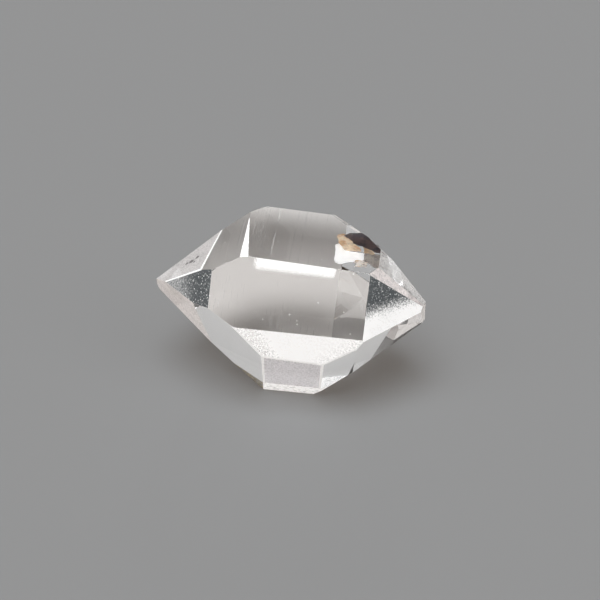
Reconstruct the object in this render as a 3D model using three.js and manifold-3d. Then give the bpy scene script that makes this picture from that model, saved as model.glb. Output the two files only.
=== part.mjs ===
// Herkimer diamond: one doubly terminated quartz crystal, lying on a small flat of its underside.
// Millimetres, +Z up. The crystal's long axis runs along X, leaning a little down to the right,
// and its broad front prism face looks towards -Y and up.
import * as THREE from 'three';
import Module from 'manifold-3d';
import { mergeVertices } from 'three/addons/utils/BufferGeometryUtils.js';

// How the crystal lies.
const roll = 30.7;          // degrees that the front prism face is turned up from level
const lean = 4.1;           // degrees that the right end of the long axis dips
const restDepth = 5.22;     // from the crystal's centre down to the flat it rests on
const blank = 24;           // side of the block that the crystal is cut from

// Angles that quartz fixes, in degrees from the long axis to a face's normal.
const prism = 90;
const pyramid = 51.8;

// Every face: its turn about the long axis from the front prism face (up is positive), the tilt of
// its normal from the long axis, the end that it faces, and how far it lies from the centre.
const left = -1;
const right = 1;
const faces = {
  frontPrism: { turn: 0, tilt: prism, end: right, reach: 4.8 },
  upperPrism: { turn: 60.4, tilt: 89, end: right, reach: 4.51 },
  lowerPrism: { turn: -59.2, tilt: prism, end: left, reach: 4.75 },
  lowerBevel: { turn: -28.6, tilt: 89.4, end: right, reach: 4.95 },
  backUpperPrism: { turn: 116.6, tilt: 89.9, end: left, reach: 4.85 },
  backPrism: { turn: 180, tilt: prism, end: right, reach: 4.06 },

  leftFrontPyramid: { turn: -0.2, tilt: 53.4, end: left, reach: 6.8 },
  leftUpperPyramid: { turn: 61.6, tilt: 51.6, end: left, reach: 6.09 },
  leftLowerPyramid: { turn: -62.8, tilt: 52.8, end: left, reach: 5.45 },
  leftBackUpperPyramid: { turn: 112, tilt: 47.8, end: left, reach: 5.56 },
  leftBackPyramid: { turn: 193.4, tilt: 31.8, end: left, reach: 7.05 },
  leftUnderPyramid: { turn: -122, tilt: pyramid, end: left, reach: 6.3 },
  leftUnderBevel: { turn: -90, tilt: 51.6, end: left, reach: 5.5 },
  leftUpperShoulder: { turn: 59, tilt: 62.8, end: left, reach: 5.63 },
  leftUpperSliver: { turn: 59.2, tilt: 80.8, end: left, reach: 5.04 },
  leftLowerShoulder: { turn: -59.2, tilt: 63.2, end: left, reach: 4.95 },
  leftBackShoulder: { turn: 116.4, tilt: 63.7, end: left, reach: 5.5 },
  leftKeelCut: { turn: -66.2, tilt: 63, end: left, reach: 5.14 },

  rightFrontPyramid: { turn: 0.2, tilt: 54.6, end: right, reach: 6.25 },
  rightUpperPyramid: { turn: 60.6, tilt: 48.2, end: right, reach: 6.26 },
  rightLowerPyramid: { turn: -60.6, tilt: 48.4, end: right, reach: 5.47 },
  rightBackUpperPyramid: { turn: 120.6, tilt: 50.6, end: right, reach: 4.59 },
  rightBackPyramid: { turn: 180, tilt: pyramid, end: right, reach: 4.5 },
  rightUnderPyramid: { turn: -122, tilt: pyramid, end: right, reach: 5.26 },
  rightUnderBevel: { turn: -92, tilt: 48.4, end: right, reach: 5.19 },
  rightLowerShoulder: { turn: -59.6, tilt: 68.6, end: right, reach: 5.11 },
  rightRidgeBevel: { turn: 28.2, tilt: 49.4, end: right, reach: 6.65 },
  rightTopCorner: { turn: 90.6, tilt: 53.8, end: right, reach: 5.59 },
  rightKeelCut: { turn: -64.4, tilt: 66.2, end: right, reach: 5.24 },
  rightTipChip: { turn: -42.4, tilt: 15, end: right, reach: 7.36 },

  keelStrip: { turn: -67, tilt: 89.6, end: right, reach: 4.97 },
};

const wasm = await Module();
wasm.setup();

// The outward normal of a face, in the frame in which the crystal lies.
function normalOf({ turn, tilt, end }) {
  const around = THREE.MathUtils.degToRad(turn + roll);
  const off = THREE.MathUtils.degToRad(tilt);
  const normal = new THREE.Vector3(
    end * Math.cos(off),
    -Math.sin(off) * Math.cos(around),
    Math.sin(off) * Math.sin(around),
  );
  return normal.applyAxisAngle(new THREE.Vector3(0, 1, 0), THREE.MathUtils.degToRad(lean));
}

// A closed three.js geometry as a solid that can be cut.
function solidOf(geometry) {
  const bare = geometry.clone();
  bare.deleteAttribute('normal');
  bare.deleteAttribute('uv');
  const merged = mergeVertices(bare);
  return new wasm.Manifold(new wasm.Mesh({
    numProp: 3,
    vertProperties: Float32Array.from(merged.attributes.position.array),
    triVerts: Uint32Array.from(merged.index.array),
  }));
}

// The block that takes off everything beyond the plane at this distance along the normal.
function wasteBeyond(normal, reach) {
  const side = 2 * blank;
  const block = new THREE.BoxGeometry(side, side, side);
  block.translate(0, 0, side / 2);
  block.applyQuaternion(new THREE.Quaternion().setFromUnitVectors(new THREE.Vector3(0, 0, 1), normal));
  block.translate(normal.x * reach, normal.y * reach, normal.z * reach);
  return solidOf(block);
}

let crystal = solidOf(new THREE.BoxGeometry(blank, blank, blank));
for (const face of Object.values(faces)) {
  crystal = crystal.subtract(wasteBeyond(normalOf(face), face.reach));
}
crystal = crystal.subtract(wasteBeyond(new THREE.Vector3(0, 0, -1), restDepth));

const cut = crystal.getMesh();
const geometry = new THREE.BufferGeometry();
geometry.setAttribute('position', new THREE.BufferAttribute(Float32Array.from(cut.vertProperties), 3));
geometry.setIndex(new THREE.BufferAttribute(Uint32Array.from(cut.triVerts), 1));
geometry.computeVertexNormals();
geometry.computeBoundingBox();

const quartz = new THREE.MeshStandardMaterial({ color: 0xe9edee, roughness: 0.04, metalness: 0, transparent: true, opacity: 0.35 });
const crystalMesh = new THREE.Mesh(geometry, quartz);
crystalMesh.name = 'quartz_crystal';

// The origin is under the middle of the crystal, at the level of the flat that it rests on.
const middle = geometry.boundingBox.getCenter(new THREE.Vector3());
crystalMesh.position.set(-middle.x, -middle.y, restDepth);

const herkimer = new THREE.Group();
herkimer.name = 'herkimer_diamond';
herkimer.add(crystalMesh);

export default herkimer;
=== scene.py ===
import math

import bmesh
import bpy
from mathutils import Matrix, Vector, noise


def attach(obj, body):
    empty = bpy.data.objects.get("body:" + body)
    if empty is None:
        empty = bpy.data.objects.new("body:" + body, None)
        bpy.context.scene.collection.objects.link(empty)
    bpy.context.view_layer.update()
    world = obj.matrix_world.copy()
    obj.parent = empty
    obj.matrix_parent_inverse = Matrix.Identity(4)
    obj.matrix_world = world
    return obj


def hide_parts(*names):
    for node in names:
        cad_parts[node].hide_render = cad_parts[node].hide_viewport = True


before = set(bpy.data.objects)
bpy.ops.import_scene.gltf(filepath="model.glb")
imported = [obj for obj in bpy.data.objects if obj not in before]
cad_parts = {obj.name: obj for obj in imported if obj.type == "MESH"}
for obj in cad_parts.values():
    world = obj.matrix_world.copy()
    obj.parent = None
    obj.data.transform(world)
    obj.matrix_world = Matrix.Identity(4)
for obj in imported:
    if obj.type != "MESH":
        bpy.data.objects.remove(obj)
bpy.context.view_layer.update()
scene = bpy.context.scene
mm = 0.001

# How the crystal lies: its long axis runs along X and dips to the right, and its front prism
# face is rolled up towards the light. Turns and tilts below are told from these.
pose = {
    "roll": math.radians(30.7),
    "lean": math.radians(4.1),
    "centre": Vector((0.516, -0.113, 5.22)) * mm,  # where the crystal began to grow
}
leftEnd, rightEnd = -1, 1


def facing(turn, tilt, end):
    # the outward direction of a crystal face, by its turn round the long axis and its tilt from it
    around = math.radians(turn) + pose["roll"]
    off = math.radians(tilt)
    along = end * math.cos(off)
    direction = Vector((along, -math.sin(off) * math.cos(around), math.sin(off) * math.sin(around)))
    return Matrix.Rotation(pose["lean"], 3, "Y") @ direction


# the faces that are worked on, by name
faceWay = {
    "frontPrism": facing(0, 90, rightEnd),
    "upperPrism": facing(60.4, 89, rightEnd),
    "lowerPrism": facing(-59.2, 90, leftEnd),
    "lowerBevel": facing(-28.6, 89.4, rightEnd),
    "keelStrip": facing(-67, 89.6, rightEnd),
    "leftFrontPyramid": facing(-0.2, 53.4, leftEnd),
    "leftUpperPyramid": facing(61.6, 51.6, leftEnd),
    "leftLowerPyramid": facing(-62.8, 52.8, leftEnd),
    "leftUpperShoulder": facing(59, 62.8, leftEnd),
    "leftUpperSliver": facing(59.2, 80.8, leftEnd),
    "leftLowerShoulder": facing(-59.2, 63.2, leftEnd),
    "rightFrontPyramid": facing(0.2, 54.6, rightEnd),
    "rightUpperPyramid": facing(60.6, 48.2, rightEnd),
    "rightRidgeBevel": facing(28.2, 49.4, rightEnd),
    "rightTopCorner": facing(90.6, 53.8, rightEnd),
    "rightLowerShoulder": facing(-59.6, 68.6, rightEnd),
    "rightKeelCut": facing(-64.4, 66.2, rightEnd),
    "leftKeelCut": facing(-66.2, 63, leftEnd),
}
longAxis = facing(0, 0, rightEnd)


def linkMesh(name, build, smooth=False):
    mesh = bpy.data.meshes.new(name)
    build.to_mesh(mesh)
    build.free()
    piece = bpy.data.objects.new(name, mesh)
    scene.collection.objects.link(piece)
    mesh.polygons.foreach_set("use_smooth", [smooth] * len(mesh.polygons))
    return piece


class nodeKit:
    # short ways to add and join nodes in one tree
    def __init__(self, tree):
        self.tree = tree

    def add(self, kind, **settings):
        node = self.tree.nodes.new(kind)
        for key, value in settings.items():
            setattr(node, key, value)
        return node

    def join(self, source, target):
        self.tree.links.new(source, target)

    def feed(self, socket, value):
        if isinstance(value, bpy.types.NodeSocket):
            self.join(value, socket)
        else:
            socket.default_value = value

    def math(self, operation, first, second=0.0, third=0.0):
        node = self.add("ShaderNodeMath", operation=operation)
        for socket, value in zip(node.inputs, (first, second, third)):
            self.feed(socket, value)
        return node.outputs[0]

    def vector(self, operation, first, second):
        node = self.add("ShaderNodeVectorMath", operation=operation)
        self.feed(node.inputs[0], first)
        self.feed(node.inputs[1], second)
        return node.outputs["Value"] if operation == "DOT_PRODUCT" else node.outputs["Vector"]

    def remap(self, value, low, high, toLow=0.0, toHigh=1.0, smooth=True):
        kind = "SMOOTHSTEP" if smooth else "LINEAR"
        node = self.add("ShaderNodeMapRange", interpolation_type=kind, clamp=True)
        for name, item in (
            ("Value", value),
            ("From Min", low),
            ("From Max", high),
            ("To Min", toLow),
            ("To Max", toHigh),
        ):
            self.feed(node.inputs[name], item)
        return node.outputs["Result"]

    def noise(self, vector, scale, detail, rough):
        node = self.add("ShaderNodeTexNoise")
        self.join(vector, node.inputs["Vector"])
        self.feed(node.inputs["Scale"], scale)
        node.inputs["Detail"].default_value = detail
        node.inputs["Roughness"].default_value = rough
        return node.outputs["Fac"]

    def blend(self, mask, first, second, targets):
        node = self.add("ShaderNodeMix", data_type="RGBA")
        self.join(mask, node.inputs["Factor"])
        node.inputs["A"].default_value = first + (1,)
        node.inputs["B"].default_value = second + (1,)
        for target in targets:
            self.join(node.outputs["Result"], target)


def newGroup(name, inputs, outputs):
    group = bpy.data.node_groups.new(name, "ShaderNodeTree")
    for label, kind, value in inputs:
        socket = group.interface.new_socket(label, in_out="INPUT", socket_type=kind)
        socket.default_value = value
    for label in outputs:
        group.interface.new_socket(label, in_out="OUTPUT", socket_type="NodeSocketFloat")
    kit = nodeKit(group)
    return kit, kit.add("NodeGroupInput"), kit.add("NodeGroupOutput")


# the shader groups below are shared by the finishes
groupLook = {
    "etchDetail": (4, 0.7),  # detail and roughness of the etched grain
    "lineStretch": 0.08,  # how slowly a growth line changes along itself
    "lineDetail": (1, 0.5),
    "waveScale": 320,  # the scale of the shallow uneven growth
    "waveDetail": (1, 0.4),
    "pitScale": 7000,
    "pitDetail": (3, 0.6),
    "pitSolid": 0.6,  # the share of a pit's radius that is solid
}


def makeEtchGroup():
    # a patch of etched, frosted surface that starts at a line and breaks up into grains there
    kit, given, result = newGroup(
        "etchedPatch",
        (
            ("Place", "NodeSocketVector", (0, 0, 0)),
            ("Across", "NodeSocketVector", (1, 0, 0)),
            ("Fade", "NodeSocketFloat", 0.001),
            ("Grain", "NodeSocketFloat", 0.001),
            ("Grain Scale", "NodeSocketFloat", 9000),
        ),
        ("Mask",),
    )
    spot = kit.add("ShaderNodeTexCoord").outputs["Object"]
    away = kit.vector("SUBTRACT", spot, given.outputs["Place"])
    distance = kit.vector("DOT_PRODUCT", away, given.outputs["Across"])
    speckle = kit.noise(spot, given.outputs["Grain Scale"], *groupLook["etchDetail"])
    grain = kit.math("SUBTRACT", speckle, 0.5)
    ragged = kit.math("MULTIPLY_ADD", grain, given.outputs["Grain"], distance)
    half = kit.math("MULTIPLY", given.outputs["Fade"], 0.5)
    low = kit.math("MULTIPLY", half, -1.0)
    kit.join(kit.remap(ragged, low, half), result.inputs["Mask"])
    return kit.tree


def makeGrowthGroup():
    # fine lines across the long axis, as quartz prism faces have, and shallow uneven growth
    kit, given, result = newGroup(
        "growthLines",
        (
            ("Axis", "NodeSocketVector", (1, 0, 0)),
            ("Line Scale", "NodeSocketFloat", 5000),
            ("Lines", "NodeSocketFloat", 1),
            ("Waves", "NodeSocketFloat", 1),
        ),
        ("Height",),
    )
    spot = kit.add("ShaderNodeTexCoord").outputs["Object"]
    along = kit.vector("DOT_PRODUCT", spot, given.outputs["Axis"])
    stretched = kit.add("ShaderNodeCombineXYZ")
    kit.join(along, stretched.inputs["X"])
    across = kit.add("ShaderNodeSeparateXYZ")
    kit.join(spot, across.inputs[0])
    slow = kit.math("MULTIPLY", across.outputs["Z"], groupLook["lineStretch"])
    kit.join(slow, stretched.inputs["Y"])
    lines = kit.noise(stretched.outputs[0], given.outputs["Line Scale"], *groupLook["lineDetail"])
    waves = kit.noise(spot, groupLook["waveScale"], *groupLook["waveDetail"])
    height = kit.math("MULTIPLY", lines, given.outputs["Lines"])
    total = kit.math("MULTIPLY_ADD", waves, given.outputs["Waves"], height)
    kit.join(total, result.inputs["Height"])
    return kit.tree


def makeSpeckGroup():
    # scattered specks of dust and tiny growth pits; on the two front points they are painted glints
    kit, given, result = newGroup(
        "surfaceSpecks",
        (
            ("Scale", "NodeSocketFloat", 6000),
            ("Size", "NodeSocketFloat", 0.2),
            ("Share", "NodeSocketFloat", 0.2),
        ),
        ("Mask",),
    )
    spot = kit.add("ShaderNodeTexCoord").outputs["Object"]
    cells = kit.add("ShaderNodeTexVoronoi")
    kit.join(spot, cells.inputs["Vector"])
    kit.join(given.outputs["Scale"], cells.inputs["Scale"])
    inner = kit.math("LESS_THAN", cells.outputs["Distance"], given.outputs["Size"])
    pick = kit.add("ShaderNodeSeparateColor")
    kit.join(cells.outputs["Color"], pick.inputs[0])
    chosen = kit.math("LESS_THAN", pick.outputs[0], given.outputs["Share"])
    kit.join(kit.math("MULTIPLY", inner, chosen), result.inputs["Mask"])
    return kit.tree


def makePitGroup():
    # one small ragged pit, the mask for its painted shade
    kit, given, result = newGroup(
        "raggedSpot",
        (
            ("Place", "NodeSocketVector", (0, 0, 0)),
            ("Radius", "NodeSocketFloat", 0.0002),
            ("Ragged", "NodeSocketFloat", 0.0002),
        ),
        ("Mask",),
    )
    spot = kit.add("ShaderNodeTexCoord").outputs["Object"]
    away = kit.vector("SUBTRACT", spot, given.outputs["Place"])
    squared = kit.vector("DOT_PRODUCT", away, away)
    distance = kit.math("SQRT", squared)
    speckle = kit.noise(spot, groupLook["pitScale"], *groupLook["pitDetail"])
    grain = kit.math("SUBTRACT", speckle, 0.5)
    ragged = kit.math("MULTIPLY_ADD", grain, given.outputs["Ragged"], distance)
    inner = kit.math("MULTIPLY", given.outputs["Radius"], groupLook["pitSolid"])
    kit.join(kit.remap(ragged, inner, given.outputs["Radius"], 1.0, 0.0), result.inputs["Mask"])
    return kit.tree


etchGroup = makeEtchGroup()
pitGroup = makePitGroup()
growthGroup = makeGrowthGroup()
speckGroup = makeSpeckGroup()
print("shader groups", len(bpy.data.node_groups))


def placeGroup(kit, group, **values):
    node = kit.add("ShaderNodeGroup", node_tree=group)
    for name, value in values.items():
        node.inputs[name].default_value = value
    return node


def newMaterial(name):
    material = bpy.data.materials.new(name)
    material.use_nodes = True
    return material, nodeKit(material.node_tree), material.node_tree.nodes["Principled BSDF"]


# the crystal and its etched skin
crystalShape = {
    "weldWithin": 0.0005 * mm,
    "sameFace": 0.9998,  # a face points this nearly along its named direction
    "flatWithin": math.radians(0.4),  # loose triangles of one face join up within this angle
    "sharpFrom": math.radians(24),  # edges flatter than this are left as they are
    "wornEdge": 0.02 * mm,  # the fine rounding of the sharp edges
    "roundedEdge": 0.09 * mm,  # the broad edges, whose bevels carry a painted white highlight
    "brightEdge": 0.055 * mm,  # and the finer ones
    "tipRound": 0.16 * mm,  # how far the two points are worn back
    "skinLift": 0.004 * mm,  # how far the etched skin stands off the clear surface
    "skinThickness": 0.004 * mm,
    "skinGap": 0.001 * mm,  # between one skin and another that lies on it
}

quartzFinish = {
    "refraction": 1.544,
    "lineDepth": 0.00035 * mm,  # the depth of the growth lines
    "waveShare": 2.0,  # how deep the uneven growth is beside the lines
}

# painted shade: a dark grey film on the two front points stands in for their dark reflections, and
# the white specks along its scratches are painted glints
paintedDarkFilm = {
    "colour": (0.07, 0.079, 0.084),
    "cover": 0.84,
    "scale": 9000,
    "detail": (4, 0.75),
    "glintEdge": (0.53, 0.75),
    "glintStrength": 0.9,
}

# what every frosted skin has unless it says otherwise
plainFrost = {
    "cover": 1.0,  # how solid it is
    "colour": (0.95, 0.945, 0.94),
    "grain": 0.5,  # how far its grain thins it
    "scale": 9000,
    "glow": 0.16,  # painted glow: emission that stands in for the light it scatters back from inside the crystal
    "patches": (),  # where on the face it lies
    "worn": (),  # where it breaks up into grey stipple
    "specks": None,
    "film": None,  # a painted dark film under it, standing in for dark reflections
    "hairlines": 0.0,  # how strong the fine growth lines in it are
    "shadedPits": (),  # the place and radius of each pit, painted dark as shade
}

# what all frosted skins share; each edge is where a noise goes from nothing to full
frostLook = {
    "roughness": 0.6,
    "gloss": 0.3,
    "fineDetail": (3, 0.65),  # detail and roughness of the noise
    "fineEdge": (0.35, 0.62),
    "broadScale": 700,
    "broadDetail": (2, 0.5),
    "broadEdge": (0.3, 0.7),
    "broadShare": 0.5,  # how far the broad noise thins the frost beside the fine one
    "stippleEdge": (0.42, 0.56),
    "stippleDepth": (0.75, 0.1),  # how bare a pit and its surroundings are
    "speckStrength": 0.8,
    "hairlineScale": 12000,
    "hairlineEdge": (0.58, 0.8),
    "hairlinePatches": 450,
    "hairlinePatchEdge": (0.42, 0.6),
    "pitShadeColour": (0.16, 0.15, 0.15),
    "pitShadeStrength": 0.85,
}

# which skin each named face has; every other face is clear
faceSkin = {
    "lowerBevel": "broadBevelSkin",
    "keelStrip": "roughSkin",
    "rightKeelCut": "roughSkin",
    # the left keel cut is painted dark as shade
    "leftKeelCut": "paintedShadeSkin",
    "leftUpperSliver": "roughSkin",
    "rightFrontPyramid": "rightPointSkin",
    "leftFrontPyramid": "leftPointSkin",
    "leftLowerPyramid": "palePointSkin",
    "rightUpperPyramid": "frostySkin",
    "rightTopCorner": "frostySkin",
    "rightRidgeBevel": "ridgeSkin",
    "leftUpperPyramid": "leftTopSkin",
    "lowerPrism": "lowerPrismSkin",
    "upperPrism": "dustSkin",
    "leftUpperShoulder": "dustSkin",
    "frontPrism": "dustSkin",
}


def faceOf(build, direction):
    return max(build.faces, key=lambda face: face.normal.dot(direction))


def edgeBetween(build, first, second):
    faceA, faceB = faceOf(build, faceWay[first]), faceOf(build, faceWay[second])
    return [edge for edge in faceA.edges if faceB in edge.link_faces]


def bevelEdges(build, edges, width, segments, clamp=True):
    result = bmesh.ops.bevel(
        build,
        geom=edges,
        offset=width,
        offset_type="OFFSET",
        affect="EDGES",
        segments=segments,
        profile=0.5,
        material=-1,
        clamp_overlap=clamp,
    )
    return result["faces"]


def mergedCrystal():
    build = bmesh.new()
    build.from_mesh(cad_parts["quartz_crystal"].data)
    bmesh.ops.remove_doubles(build, verts=build.verts[:], dist=crystalShape["weldWithin"])
    bmesh.ops.dissolve_limit(
        build,
        angle_limit=crystalShape["flatWithin"],
        verts=build.verts[:],
        edges=build.edges[:],
    )
    bmesh.ops.recalc_face_normals(build, faces=build.faces[:])
    return build


def shapeCrystal(skinNames):
    # the worn crystal; a face's material index is its skin, and 0 is clear
    build = mergedCrystal()
    for name, skin in faceSkin.items():
        face = faceOf(build, faceWay[name])
        if face.normal.dot(faceWay[name]) < crystalShape["sameFace"]:
            print("no face for", name)
        face.material_index = skinNames.index(skin)
    broad = []
    for first, second in (
        ("lowerBevel", "lowerPrism"),
        ("lowerBevel", "leftLowerShoulder"),
        ("lowerBevel", "rightLowerShoulder"),
        ("lowerPrism", "leftLowerShoulder"),
        ("lowerPrism", "rightLowerShoulder"),
    ):
        broad += edgeBetween(build, first, second)
    # the bevels of these edges get a painted white highlight
    for face in bevelEdges(build, broad, crystalShape["roundedEdge"], 3, clamp=False):
        face.material_index = skinNames.index("paintedEdgeHighlight")
    # the finer bright edges get the same painted highlight
    bright = edgeBetween(build, "leftFrontPyramid", "leftUpperPyramid")
    bright += edgeBetween(build, "leftUpperPyramid", "leftUpperShoulder")
    for face in bevelEdges(build, bright, crystalShape["brightEdge"], 2, clamp=False):
        face.material_index = skinNames.index("paintedEdgeHighlight")
    ends = [min(build.verts, key=lambda v: v.co.x), max(build.verts, key=lambda v: v.co.x)]
    for tip in ends:
        bmesh.ops.bevel(
            build,
            geom=[tip],
            offset=crystalShape["tipRound"],
            offset_type="OFFSET",
            affect="VERTICES",
            segments=1,
            profile=0.5,
            material=-1,
            clamp_overlap=True,
        )
    sharp = [edge for edge in build.edges if edge.calc_face_angle() > crystalShape["sharpFrom"]]
    bevelEdges(build, sharp, crystalShape["wornEdge"], 2)
    bmesh.ops.recalc_face_normals(build, faces=build.faces[:])
    return build


def liftSkin(build, layer=1):
    # turns a sheet of faces into a thin closed skin just off the crystal, or off the skin below it
    build.normal_update()
    lift = crystalShape["skinLift"] * (2 * layer - 1) + crystalShape["skinGap"] * (layer - 1)
    for vert in build.verts:
        vert.co += vert.normal * lift
    bmesh.ops.solidify(build, geom=build.faces[:], thickness=-crystalShape["skinThickness"])
    bmesh.ops.recalc_face_normals(build, faces=build.faces[:])


def clearQuartz():
    material, kit, shader = newMaterial("clearQuartz")
    shader.inputs["Base Color"].default_value = (1, 1, 1, 1)
    shader.inputs["IOR"].default_value = quartzFinish["refraction"]
    shader.inputs["Transmission Weight"].default_value = 1.0
    shader.inputs["Roughness"].default_value = 0.0
    growth = placeGroup(kit, growthGroup, Axis=longAxis, Waves=quartzFinish["waveShare"])
    bump = kit.add("ShaderNodeBump")
    bump.inputs["Distance"].default_value = quartzFinish["lineDepth"]
    kit.join(growth.outputs["Height"], bump.inputs["Height"])
    kit.join(bump.outputs["Normal"], shader.inputs["Normal"])
    return material


class faceFrame:
    # places on one crystal face, in millimetres from its middle: along the crystal and up the face
    def __init__(self, name):
        build = mergedCrystal()
        face = faceOf(build, faceWay[name])
        self.out = face.normal.copy()
        area, total = 0.0, Vector()
        corners = [vert.co for vert in face.verts]
        for second, third in zip(corners[1:-1], corners[2:]):
            part = (second - corners[0]).cross(third - corners[0]).length
            area += part
            total += part * (corners[0] + second + third) / 3
        self.middle = total / area
        build.free()
        self.side = (longAxis - self.out * longAxis.dot(self.out)).normalized()
        self.rise = self.out.cross(self.side)

    def at(self, along, up, below=0.0):
        return self.middle + (self.side * along + self.rise * up - self.out * below) * mm

    def way(self, along, up):
        return (self.side * along + self.rise * up).normalized()


def frostCover(kit, spot, look):
    # how solid the frost is from place to place, before its film, hairlines and bruises
    grain = look["grain"]
    fineNoise = kit.noise(spot, look["scale"], *frostLook["fineDetail"])
    fine = kit.remap(fineNoise, *frostLook["fineEdge"], 1 - grain, 1)
    broadNoise = kit.noise(spot, frostLook["broadScale"], *frostLook["broadDetail"])
    broad = kit.remap(broadNoise, *frostLook["broadEdge"], 1 - grain * frostLook["broadShare"], 1)
    cover = kit.math("MULTIPLY", kit.math("MULTIPLY", fine, broad), look["cover"])
    for place in look["patches"]:
        etched = placeGroup(kit, etchGroup, **place)
        cover = kit.math("MULTIPLY", cover, etched.outputs["Mask"])
    for place in look["worn"]:
        bare = placeGroup(kit, etchGroup, **place)
        pits = kit.remap(fineNoise, *frostLook["stippleEdge"], *frostLook["stippleDepth"])
        stipple = kit.math("MULTIPLY", pits, bare.outputs["Mask"])
        cover = kit.math("MULTIPLY", cover, kit.math("SUBTRACT", 1.0, stipple))
    if look["specks"]:
        dots = placeGroup(kit, speckGroup, **look["specks"])
        strong = kit.math("MULTIPLY", dots.outputs["Mask"], frostLook["speckStrength"])
        cover = kit.math("MAXIMUM", cover, strong)
    return cover


def addPaintedDarkFilm(kit, spot, shader, look, cover):
    # painted shade: the dark grey film that stands in for dark reflections, the painted glints along
    # its scratches, and the frost on it
    film = look["film"]
    scratches = kit.noise(spot, film["scale"], *film["detail"])
    glint = kit.remap(scratches, *film["glintEdge"], 0.0, film["glintStrength"])
    cover = kit.math("MAXIMUM", cover, glint)
    targets = (shader.inputs["Base Color"], shader.inputs["Emission Color"])
    kit.blend(cover, film["colour"], look["colour"], targets)
    return kit.remap(cover, 0.0, 1.0, film["cover"], 1.0, smooth=False)


def addHairlines(kit, spot, strength, cover):
    # fine growth lines that show here and there
    lines = placeGroup(kit, growthGroup, Axis=longAxis, Waves=0.0)
    lines.inputs["Line Scale"].default_value = frostLook["hairlineScale"]
    streaks = kit.remap(lines.outputs["Height"], *frostLook["hairlineEdge"], 0.0, strength)
    patches = kit.noise(spot, frostLook["hairlinePatches"], *frostLook["broadDetail"])
    patchy = kit.remap(patches, *frostLook["hairlinePatchEdge"])
    return kit.math("MAXIMUM", cover, kit.math("MULTIPLY", streaks, patchy))


def addPitShade(kit, shader, look, cover):
    marks = 0.0
    for place, radius in look["shadedPits"]:
        mark = placeGroup(kit, pitGroup, Place=place, Radius=radius * mm, Ragged=radius * mm)
        marks = kit.math("MAXIMUM", mark.outputs["Mask"], marks)
    # painted shade: the pits are given a flat dark colour
    kit.blend(marks, look["colour"], frostLook["pitShadeColour"], (shader.inputs["Base Color"],))
    return kit.math("MAXIMUM", cover, kit.math("MULTIPLY", marks, frostLook["pitShadeStrength"]))


def skinMaterial(name, **changes):
    look = {**plainFrost, **changes}
    material, kit, shader = newMaterial(name)
    shader.inputs["Base Color"].default_value = look["colour"] + (1,)
    shader.inputs["Roughness"].default_value = frostLook["roughness"]
    shader.inputs["Specular IOR Level"].default_value = frostLook["gloss"]
    shader.inputs["Emission Color"].default_value = look["colour"] + (1,)
    shader.inputs["Emission Strength"].default_value = look["glow"]
    spot = kit.add("ShaderNodeTexCoord").outputs["Object"]
    cover = frostCover(kit, spot, look)
    if look["film"]:
        cover = addPaintedDarkFilm(kit, spot, shader, look, cover)
    if look["hairlines"]:
        cover = addHairlines(kit, spot, look["hairlines"], cover)
    if look["shadedPits"]:
        cover = addPitShade(kit, shader, look, cover)
    kit.join(cover, shader.inputs["Alpha"])
    return material


def patch(face, place, across, fade, grain, scale=7000):
    # frost on one face, in millimetres: it starts at the place and thickens in the way across
    return {
        "Place": face.at(*place),
        "Across": face.way(*across),
        "Fade": fade * mm,
        "Grain": grain * mm,
        "Grain Scale": scale,
    }


rightPoint = faceFrame("rightFrontPyramid")
leftPoint = faceFrame("leftFrontPyramid")
leftTop = faceFrame("leftUpperPyramid")
broadBevel = faceFrame("lowerBevel")
frontPrism = faceFrame("frontPrism")
upperPrism = faceFrame("upperPrism")

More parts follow.
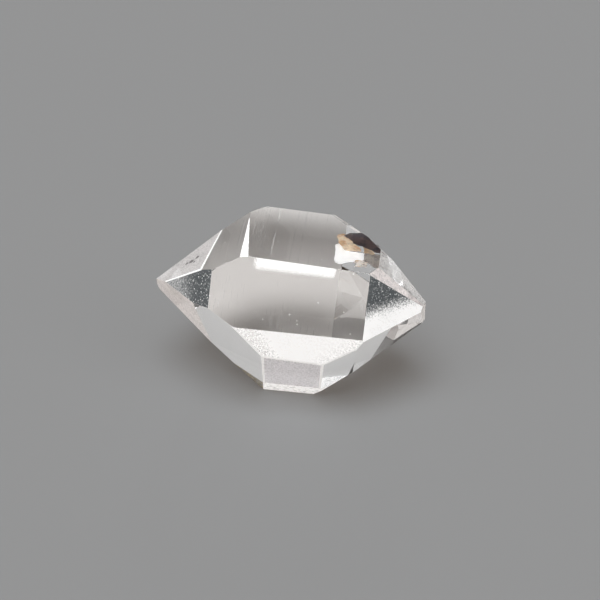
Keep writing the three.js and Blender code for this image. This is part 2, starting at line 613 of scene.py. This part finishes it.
skinLooks = {
    "broadBevelSkin": {
        "grain": 0.12,
        "worn": (
            patch(broadBevel, (2.2, -0.2), (0.7, -0.7), 2.2, 1.4, 9000),
            patch(broadBevel, (-1.7, -0.3), (-0.8, -0.6), 0.7, 1.6, 6000),
        ),
    },
    "roughSkin": {"cover": 0.97, "grain": 0.4, "scale": 5000, "glow": 0.3},
    # the two front points carry the painted dark film, and their specks are painted glints
    "rightPointSkin": {
        "patches": (patch(rightPoint, (0, 0.1), (0.305, -0.952), 0.9, 2.2, 11000),),
        "grain": 0.12,
        "scale": 12000,
        "specks": {"Scale": 9000, "Size": 0.28, "Share": 0.12},
        "film": paintedDarkFilm,
    },
    "leftPointSkin": {
        "cover": 0.6,
        "patches": (patch(leftPoint, (-0.9, 0), (-0.9, -0.3), 2.2, 3.0, 11000),),
        "grain": 0.7,
        "specks": {"Scale": 9000, "Size": 0.3, "Share": 0.16},
        "film": paintedDarkFilm,
    },
    "frostySkin": {
        "cover": 0.74,
        "grain": 0.62,
        "scale": 3500,
        "colour": (0.76, 0.75, 0.745),
        "glow": 0.02,
    },
    "ridgeSkin": {
        "cover": 0.76,
        "grain": 0.5,
        "colour": (0.86, 0.8, 0.785),
        "scale": 5000,
        "glow": 0.05,
    },
    "palePointSkin": {"cover": 0.62, "grain": 0.3, "colour": (0.9, 0.85, 0.83), "glow": 0.1},
    "dustSkin": {
        "cover": 0.0,
        "specks": {"Scale": 2600, "Size": 0.1, "Share": 0.3},
        "hairlines": 0.16,
        "glow": 0.05,
    },
    # painted shade: the dark olive-brown frost on the left keel cut stands in for dark reflection and
    # shade along the lower left edge
    "paintedShadeSkin": {
        "cover": 0.85,
        "grain": 0.8,
        "colour": (0.4, 0.35, 0.25),
        "scale": 4500,
        "glow": 0.0,
    },
    "leftTopSkin": {
        "cover": 0.74,
        "grain": 0.3,
        "colour": (0.74, 0.715, 0.71),
        "glow": 0.0,
        "shadedPits": (
            (leftTop.at(0.1, -0.1), 0.2),
            (leftTop.at(-0.25, -0.05), 0.13),
            (leftTop.at(0.5, 0.05), 0.16),
            (leftTop.at(0.35, -0.35), 0.1),
        ),
    },
    "lowerPrismSkin": {
        "cover": 0.7,
        "grain": 0.35,
        "colour": (0.86, 0.84, 0.865),
        "specks": {"Scale": 8000, "Size": 0.3, "Share": 0.3},
        "glow": 0.06,
    },
    # painted highlight along the rounded edges
    "paintedEdgeHighlight": {"grain": 0.2},
}
skins = {"clear": clearQuartz()}
for name, look in skinLooks.items():
    skins[name] = skinMaterial(name, **look)

skinNames = list(skins)
shaped = shapeCrystal(skinNames)
skinBuild = shaped.copy()
clearFaces = [face for face in skinBuild.faces if face.material_index == 0]
bmesh.ops.delete(skinBuild, geom=clearFaces, context="FACES")
liftSkin(skinBuild)
for face in shaped.faces:
    face.material_index = 0
crystal = linkMesh("crystal", shaped)
crystal.data.materials.append(skins["clear"])
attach(crystal, "root")
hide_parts("quartz_crystal")
etchedSkin = linkMesh("etchedSkin", skinBuild)
for skin in skins.values():
    etchedSkin.data.materials.append(skin)
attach(etchedSkin, "root")
print("crystal", len(crystal.data.polygons), "skin", len(etchedSkin.data.polygons))


# painted light: a white streak along the top of the front prism face stands in for a bright caustic
# on the floor behind, seen through the crystal
streakShape = {
    "bottom": 1.42,  # these places are in millimetres from the face's middle
    "from": -2.3,
    "to": 2.45,
    "soft": 0.2,  # how far the skin reaches past these, for its faded edge
    "clearRim": 1.5,  # the rim of the face that stays clear, in widths of a worn edge
    "rimShare": 0.3,  # the rim's faces are less than this share of the largest
    "cutWithin": 0.0001 * mm,
    "fades": (  # where it starts, the way in which it thickens, fade and grain
        ((0, 1.52), (0, 1), 0.45, 0.2),
        ((-2.15, 0), (1, 0), 0.3, 0.6),
        ((2.35, 0), (-1, 0), 0.25, 0.2),
    ),
}


def makeStreak():
    build = mergedCrystal()
    face = faceOf(build, faceWay["frontPrism"])
    others = [other for other in build.faces if other is not face]
    bmesh.ops.delete(build, geom=others, context="FACES")
    soft = streakShape["soft"]
    cuts = (
        (frontPrism.at(0, streakShape["bottom"] - soft), -frontPrism.rise),
        (frontPrism.at(streakShape["from"] - soft, 0), -frontPrism.side),
        (frontPrism.at(streakShape["to"] + soft, 0), frontPrism.side),
    )
    for place, away in cuts:
        everything = build.verts[:] + build.edges[:] + build.faces[:]
        bmesh.ops.bisect_plane(
            build,
            geom=everything,
            dist=streakShape["cutWithin"],
            plane_co=place,
            plane_no=away,
            clear_outer=True,
        )
    inset = crystalShape["wornEdge"] * streakShape["clearRim"]
    bmesh.ops.inset_region(build, faces=build.faces[:], thickness=inset, use_even_offset=True)
    largest = max(face.calc_area() for face in build.faces)
    rim = [face for face in build.faces if face.calc_area() < streakShape["rimShare"] * largest]
    bmesh.ops.delete(build, geom=rim, context="FACES")
    liftSkin(build, layer=2)
    return linkMesh("paintedCausticStreak", build)


streak = makeStreak()
streakFades = [patch(frontPrism, *fade) for fade in streakShape["fades"]]
streakSkin = skinMaterial("paintedCausticStreak", cover=0.97, grain=0.1, patches=streakFades)
streak.data.materials.append(streakSkin)
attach(streak, "root")
print("painted caustic streak", len(streak.data.polygons))


# the films that are sealed in the crystal, a little below the upper prism face
filmMaking = {
    "thickness": 0.012 * mm,
    "ragged": ((2, 0.07), (2, 0.06)),  # each round's cuts, and how far it shakes the points, in mm
    "raggedScale": 2.6,
    "secondShake": Vector((7.3, 2.9, 4.1)),  # where the shake up the face is read
    "crumpleScale": 1.7,
}

# each film's outline in millimetres along and up that face, how deep it lies at its middle, how
# it slopes, and how crumpled it is
sealedFilms = {
    "darkFilm": {
        "slot": "dark_inclusion",
        "outline": (
            (1.9, 1.15), (2.2, 1.5), (3.0, 1.85), (3.45, 1.45), (4.15, 0.45), (4.35, -0.3),
            (3.95, -0.34), (3.35, -0.02), (3.05, 0.12), (2.5, 0.3), (2.3, 0.75),
        ),
        "depth": 0.3,
        "slope": (0.06, 0.1),
        "crumple": 0.12,
    },
    "goldenStain": {
        "slot": "golden_inclusion",
        "outline": (
            (1.5, 1.2), (1.95, 1.32), (2.4, 0.95), (2.75, 0.3), (3.0, -0.32), (2.3, -0.5),
            (1.95, -0.2), (1.62, 0.25),
        ),
        "depth": 0.36,
        "slope": (0.06, 0.1),
        "crumple": 0.1,
    },
    "goldenFleck": {
        "slot": "golden_inclusion",
        "outline": ((3.1, 0.2), (3.5, 0.02), (3.78, -0.38), (3.6, -0.62), (3.25, -0.5)),
        "depth": 0.26,
        "slope": (0.0, 0.1),
        "crumple": 0.06,
    },
    "brownStain": {
        "slot": "golden_inclusion",
        "outline": (
            (3.3, -0.5), (3.75, -0.38), (4.2, -0.5), (4.4, -1.7), (3.9, -1.85), (3.2, -1.2),
        ),
        "depth": 0.34,
        "slope": (0.06, 0.0),
        "crumple": 0.1,
    },
    "lowerStain": {
        "slot": "golden_inclusion",
        "outline": ((2.7, -1.4), (3.2, -1.2), (3.5, -1.5), (3.4, -2.0), (2.8, -2.1)),
        "depth": 0.24,
        "slope": (0.0, 0.06),
        "crumple": 0.06,
    },
    "whiteVeil": {
        "slot": "white_veil",
        "outline": (
            (1.5, 0.15), (1.62, 0.35), (1.95, -0.28), (2.5, -0.42), (3.25, -0.38),
            (3.26, -1.05), (2.7, -1.5), (1.9, -2.0), (1.6, -1.9), (1.55, -0.9),
        ),
        "depth": 0.42,
        "slope": (0.05, 0.12),
        "crumple": 0.1,
    },
}


stainLook = {
    "roughness": 0.55,
    "colourDetail": (4, 0.6),
    "colourEdge": (0.4, 0.6),
    "thinScale": 1.7,  # how much finer the thin spots are than the patches of colour
    "thinDetail": (4, 0.65),
    "thinEdge": (0.36, 0.52),
}

# each film's two colours, how solid its thin spots are, the scale of its patches, and its glow
stainFinish = {
    "darkFilm": ((0.05, 0.034, 0.045), (0.13, 0.08, 0.075), 0.9, 1600, 0.0),
    "goldenStain": ((0.95, 0.78, 0.58), (0.72, 0.46, 0.26), 0.75, 1500, 0.15),
    "goldenFleck": ((0.85, 0.66, 0.46), (0.6, 0.4, 0.24), 0.7, 1500, 0.0),
    "brownStain": ((0.36, 0.31, 0.28), (0.52, 0.47, 0.43), 0.55, 1800, 0.0),
    "lowerStain": ((0.78, 0.6, 0.44), (0.95, 0.88, 0.82), 0.4, 1800, 0.1),
    "whiteVeil": ((1.0, 1.0, 1.0), (0.98, 0.975, 0.97), 0.93, 1300, 0.45),
}


def stainMaterial(name, first, second, solid, scale, glow):
    # a thin deposit whose colour and thickness change from place to place
    material, kit, shader = newMaterial(name)
    shader.inputs["Roughness"].default_value = stainLook["roughness"]
    shader.inputs["Emission Strength"].default_value = glow
    spot = kit.add("ShaderNodeTexCoord").outputs["Object"]
    patches = kit.noise(spot, scale, *stainLook["colourDetail"])
    targets = (shader.inputs["Base Color"], shader.inputs["Emission Color"])
    kit.blend(kit.remap(patches, *stainLook["colourEdge"]), first, second, targets)
    spots = kit.noise(spot, scale * stainLook["thinScale"], *stainLook["thinDetail"])
    kit.join(kit.remap(spots, *stainLook["thinEdge"], solid, 1), shader.inputs["Alpha"])
    return material


def makeSealedFilm(name, film):
    out, side, rise = upperPrism.out, upperPrism.side, upperPrism.rise
    build = bmesh.new()
    middle = Vector((0, 0))
    for point in film["outline"]:
        middle += Vector(point) / len(film["outline"])
    slopeAlong, slopeUp = film["slope"]
    for along, up in film["outline"]:
        deep = film["depth"] + (along - middle.x) * slopeAlong + (up - middle.y) * slopeUp
        build.verts.new(upperPrism.at(along, up, deep))
    bmesh.ops.contextual_create(build, geom=build.verts[:])
    bmesh.ops.poke(build, faces=build.faces[:])
    for cuts, ragged in filmMaking["ragged"]:
        bmesh.ops.subdivide_edges(build, edges=build.edges[:], cuts=cuts, use_grid_fill=True)
        for vert in build.verts:
            spot = vert.co / mm * filmMaking["raggedScale"]
            along = noise.noise(spot) * ragged
            up = noise.noise(spot + filmMaking["secondShake"]) * ragged
            vert.co += (side * along + rise * up) * mm
    for vert in build.verts:
        crumple = noise.noise(vert.co / mm * filmMaking["crumpleScale"]) * film["crumple"]
        vert.co += out * crumple * mm
    bmesh.ops.triangulate(build, faces=build.faces[:])
    sheet = bmesh.ops.extrude_face_region(build, geom=build.faces[:], use_keep_orig=True)
    for part in sheet["geom"]:
        if isinstance(part, bmesh.types.BMVert):
            part.co -= out * filmMaking["thickness"]
    bmesh.ops.recalc_face_normals(build, faces=build.faces[:])
    piece = linkMesh(name, build, smooth=True)
    piece.data.materials.append(stainMaterial(name, *stainFinish[name]))
    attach(piece, "root")


for name, film in sealedFilms.items():
    makeSealedFilm(name, film)
print("sealed films", len(sealedFilms))


# floor, light and camera
studio = {
    "floorReach": 2.0,
    "floorSeen": (0.198, 0.216, 0.231),  # how pale the floor looks to the camera
    "floorWhite": (0.585, 0.565, 0.55),  # how pale it is to the crystal and the light
    "floorGlow": (0.077, 0.058, 0.043),  # its own faint light keeps its shadows soft and warm
    "glowUnseen": 0.38,  # the share of that light that the crystal gets
    "backdrop": 0.287,
    "wall": 0.46,  # the pale surroundings low down
    "wallRise": math.radians(12),
    "wallBlur": 0.05,  # in radians
    "screenRise": 4,  # in degrees
}

view = {
    "turn": math.radians(6.33),
    "rise": math.radians(35.23),
    "away": 90 * mm,
    "lens": 90,
    "sensorWidth": 36,
    "nearest": 1 * mm,
    "farthest": 10,
}

# soft lamps: turn from -Y towards +X, rise, half angle and blur in degrees, and strength
softLamps = (
    (350, 71, 17, 8, 7.9),
    (60, 46, 17, 8, 1.2),
    (314, 55, 13, 8, 2.2),
    (300, 36, 10, 5, 1.2),
    (330, 20, 8, 4, 1.3),
    (70, 20, 9, 4, 0.7),
    (205, 20, 9, 4, 0.5),
    (180, 24, 6.5, 0.8, 2.9),
    (180, 58, 46, 24, 0.1),
)

# dark screens that break up the pale surroundings: turn, half width and blur in degrees
darkScreens = ((104, 20, 5), (272, 11, 4), (330, 12, 5))


def lampWay(turn, rise):
    turn, rise = math.radians(turn), math.radians(rise)
    return Vector((math.cos(rise) * math.sin(turn), -math.cos(rise) * math.cos(turn), math.sin(rise)))


def softEdge(half, blur):
    # where a round lamp or screen begins and where it is full, as cosines from its middle
    return math.cos(math.radians(half + blur)), math.cos(math.radians(half - blur))


def makeStudioLight():
    world = bpy.data.worlds.new("studio")
    world.use_nodes = True
    kit = nodeKit(world.node_tree)
    background = world.node_tree.nodes["Background"]
    way = kit.add("ShaderNodeTexCoord").outputs["Generated"]
    parts = kit.add("ShaderNodeSeparateXYZ")
    kit.join(way, parts.inputs[0])
    wallTop = math.sin(studio["wallRise"] + studio["wallBlur"])
    wallFull = math.sin(studio["wallRise"] - studio["wallBlur"])
    total = kit.remap(parts.outputs["Z"], wallTop, wallFull, 0.0, studio["wall"])
    for turn, half, blur in darkScreens:
        towards = kit.vector("DOT_PRODUCT", way, lampWay(turn, studio["screenRise"]))
        shade = kit.remap(towards, *softEdge(half, blur), 1.0, 0.0)
        total = kit.math("MULTIPLY", total, shade)
    for turn, rise, half, blur, strength in softLamps:
        towards = kit.vector("DOT_PRODUCT", way, lampWay(turn, rise))
        lamp = kit.remap(towards, *softEdge(half, blur), 0.0, strength)
        total = kit.math("ADD", lamp, total)
    seen = kit.add("ShaderNodeLightPath").outputs["Is Camera Ray"]
    mix = kit.add("ShaderNodeMix")
    kit.join(seen, mix.inputs["Factor"])
    kit.join(total, mix.inputs["A"])
    mix.inputs["B"].default_value = studio["backdrop"]
    kit.join(mix.outputs["Result"], background.inputs["Strength"])
    background.inputs["Color"].default_value = (1, 1, 1, 1)
    scene.world = world


def paleFloor():
    material, kit, shader = newMaterial("paleFloor")
    seen = kit.add("ShaderNodeLightPath").outputs["Is Camera Ray"]
    kit.blend(seen, studio["floorWhite"], studio["floorSeen"], (shader.inputs["Base Color"],))
    shader.inputs["Emission Color"].default_value = studio["floorGlow"] + (1,)
    unseen = studio["glowUnseen"]
    glow = kit.math("MULTIPLY_ADD", seen, 1 - unseen, unseen)
    kit.join(glow, shader.inputs["Emission Strength"])
    shader.inputs["Roughness"].default_value = 1.0
    shader.inputs["Specular IOR Level"].default_value = 0.0
    return material


def makeCamera():
    turn, rise = view["turn"], view["rise"]
    back = Vector(
        (math.sin(turn) * math.cos(rise), -math.cos(turn) * math.cos(rise), math.sin(rise))
    )
    lens = bpy.data.cameras.new("camera")
    lens.lens = view["lens"]
    lens.sensor_width = view["sensorWidth"]
    lens.clip_start = view["nearest"]
    lens.clip_end = view["farthest"]
    camera = bpy.data.objects.new("camera", lens)
    camera.location = pose["centre"] + back * view["away"]
    camera.rotation_mode = "QUATERNION"
    camera.rotation_quaternion = (-back).to_track_quat("-Z", "Y")
    scene.collection.objects.link(camera)
    scene.camera = camera


floorBuild = bmesh.new()
bmesh.ops.create_grid(floorBuild, x_segments=1, y_segments=1, size=studio["floorReach"])
floor = linkMesh("floor", floorBuild)
floor.data.materials.append(paleFloor())
makeStudioLight()
scene.cycles.max_bounces = 32
scene.cycles.transmission_bounces = 32
scene.cycles.glossy_bounces = 32
scene.cycles.transparent_max_bounces = 64
scene.view_settings.view_transform = "Standard"
makeCamera()
print("studio", len(softLamps), "lamps")
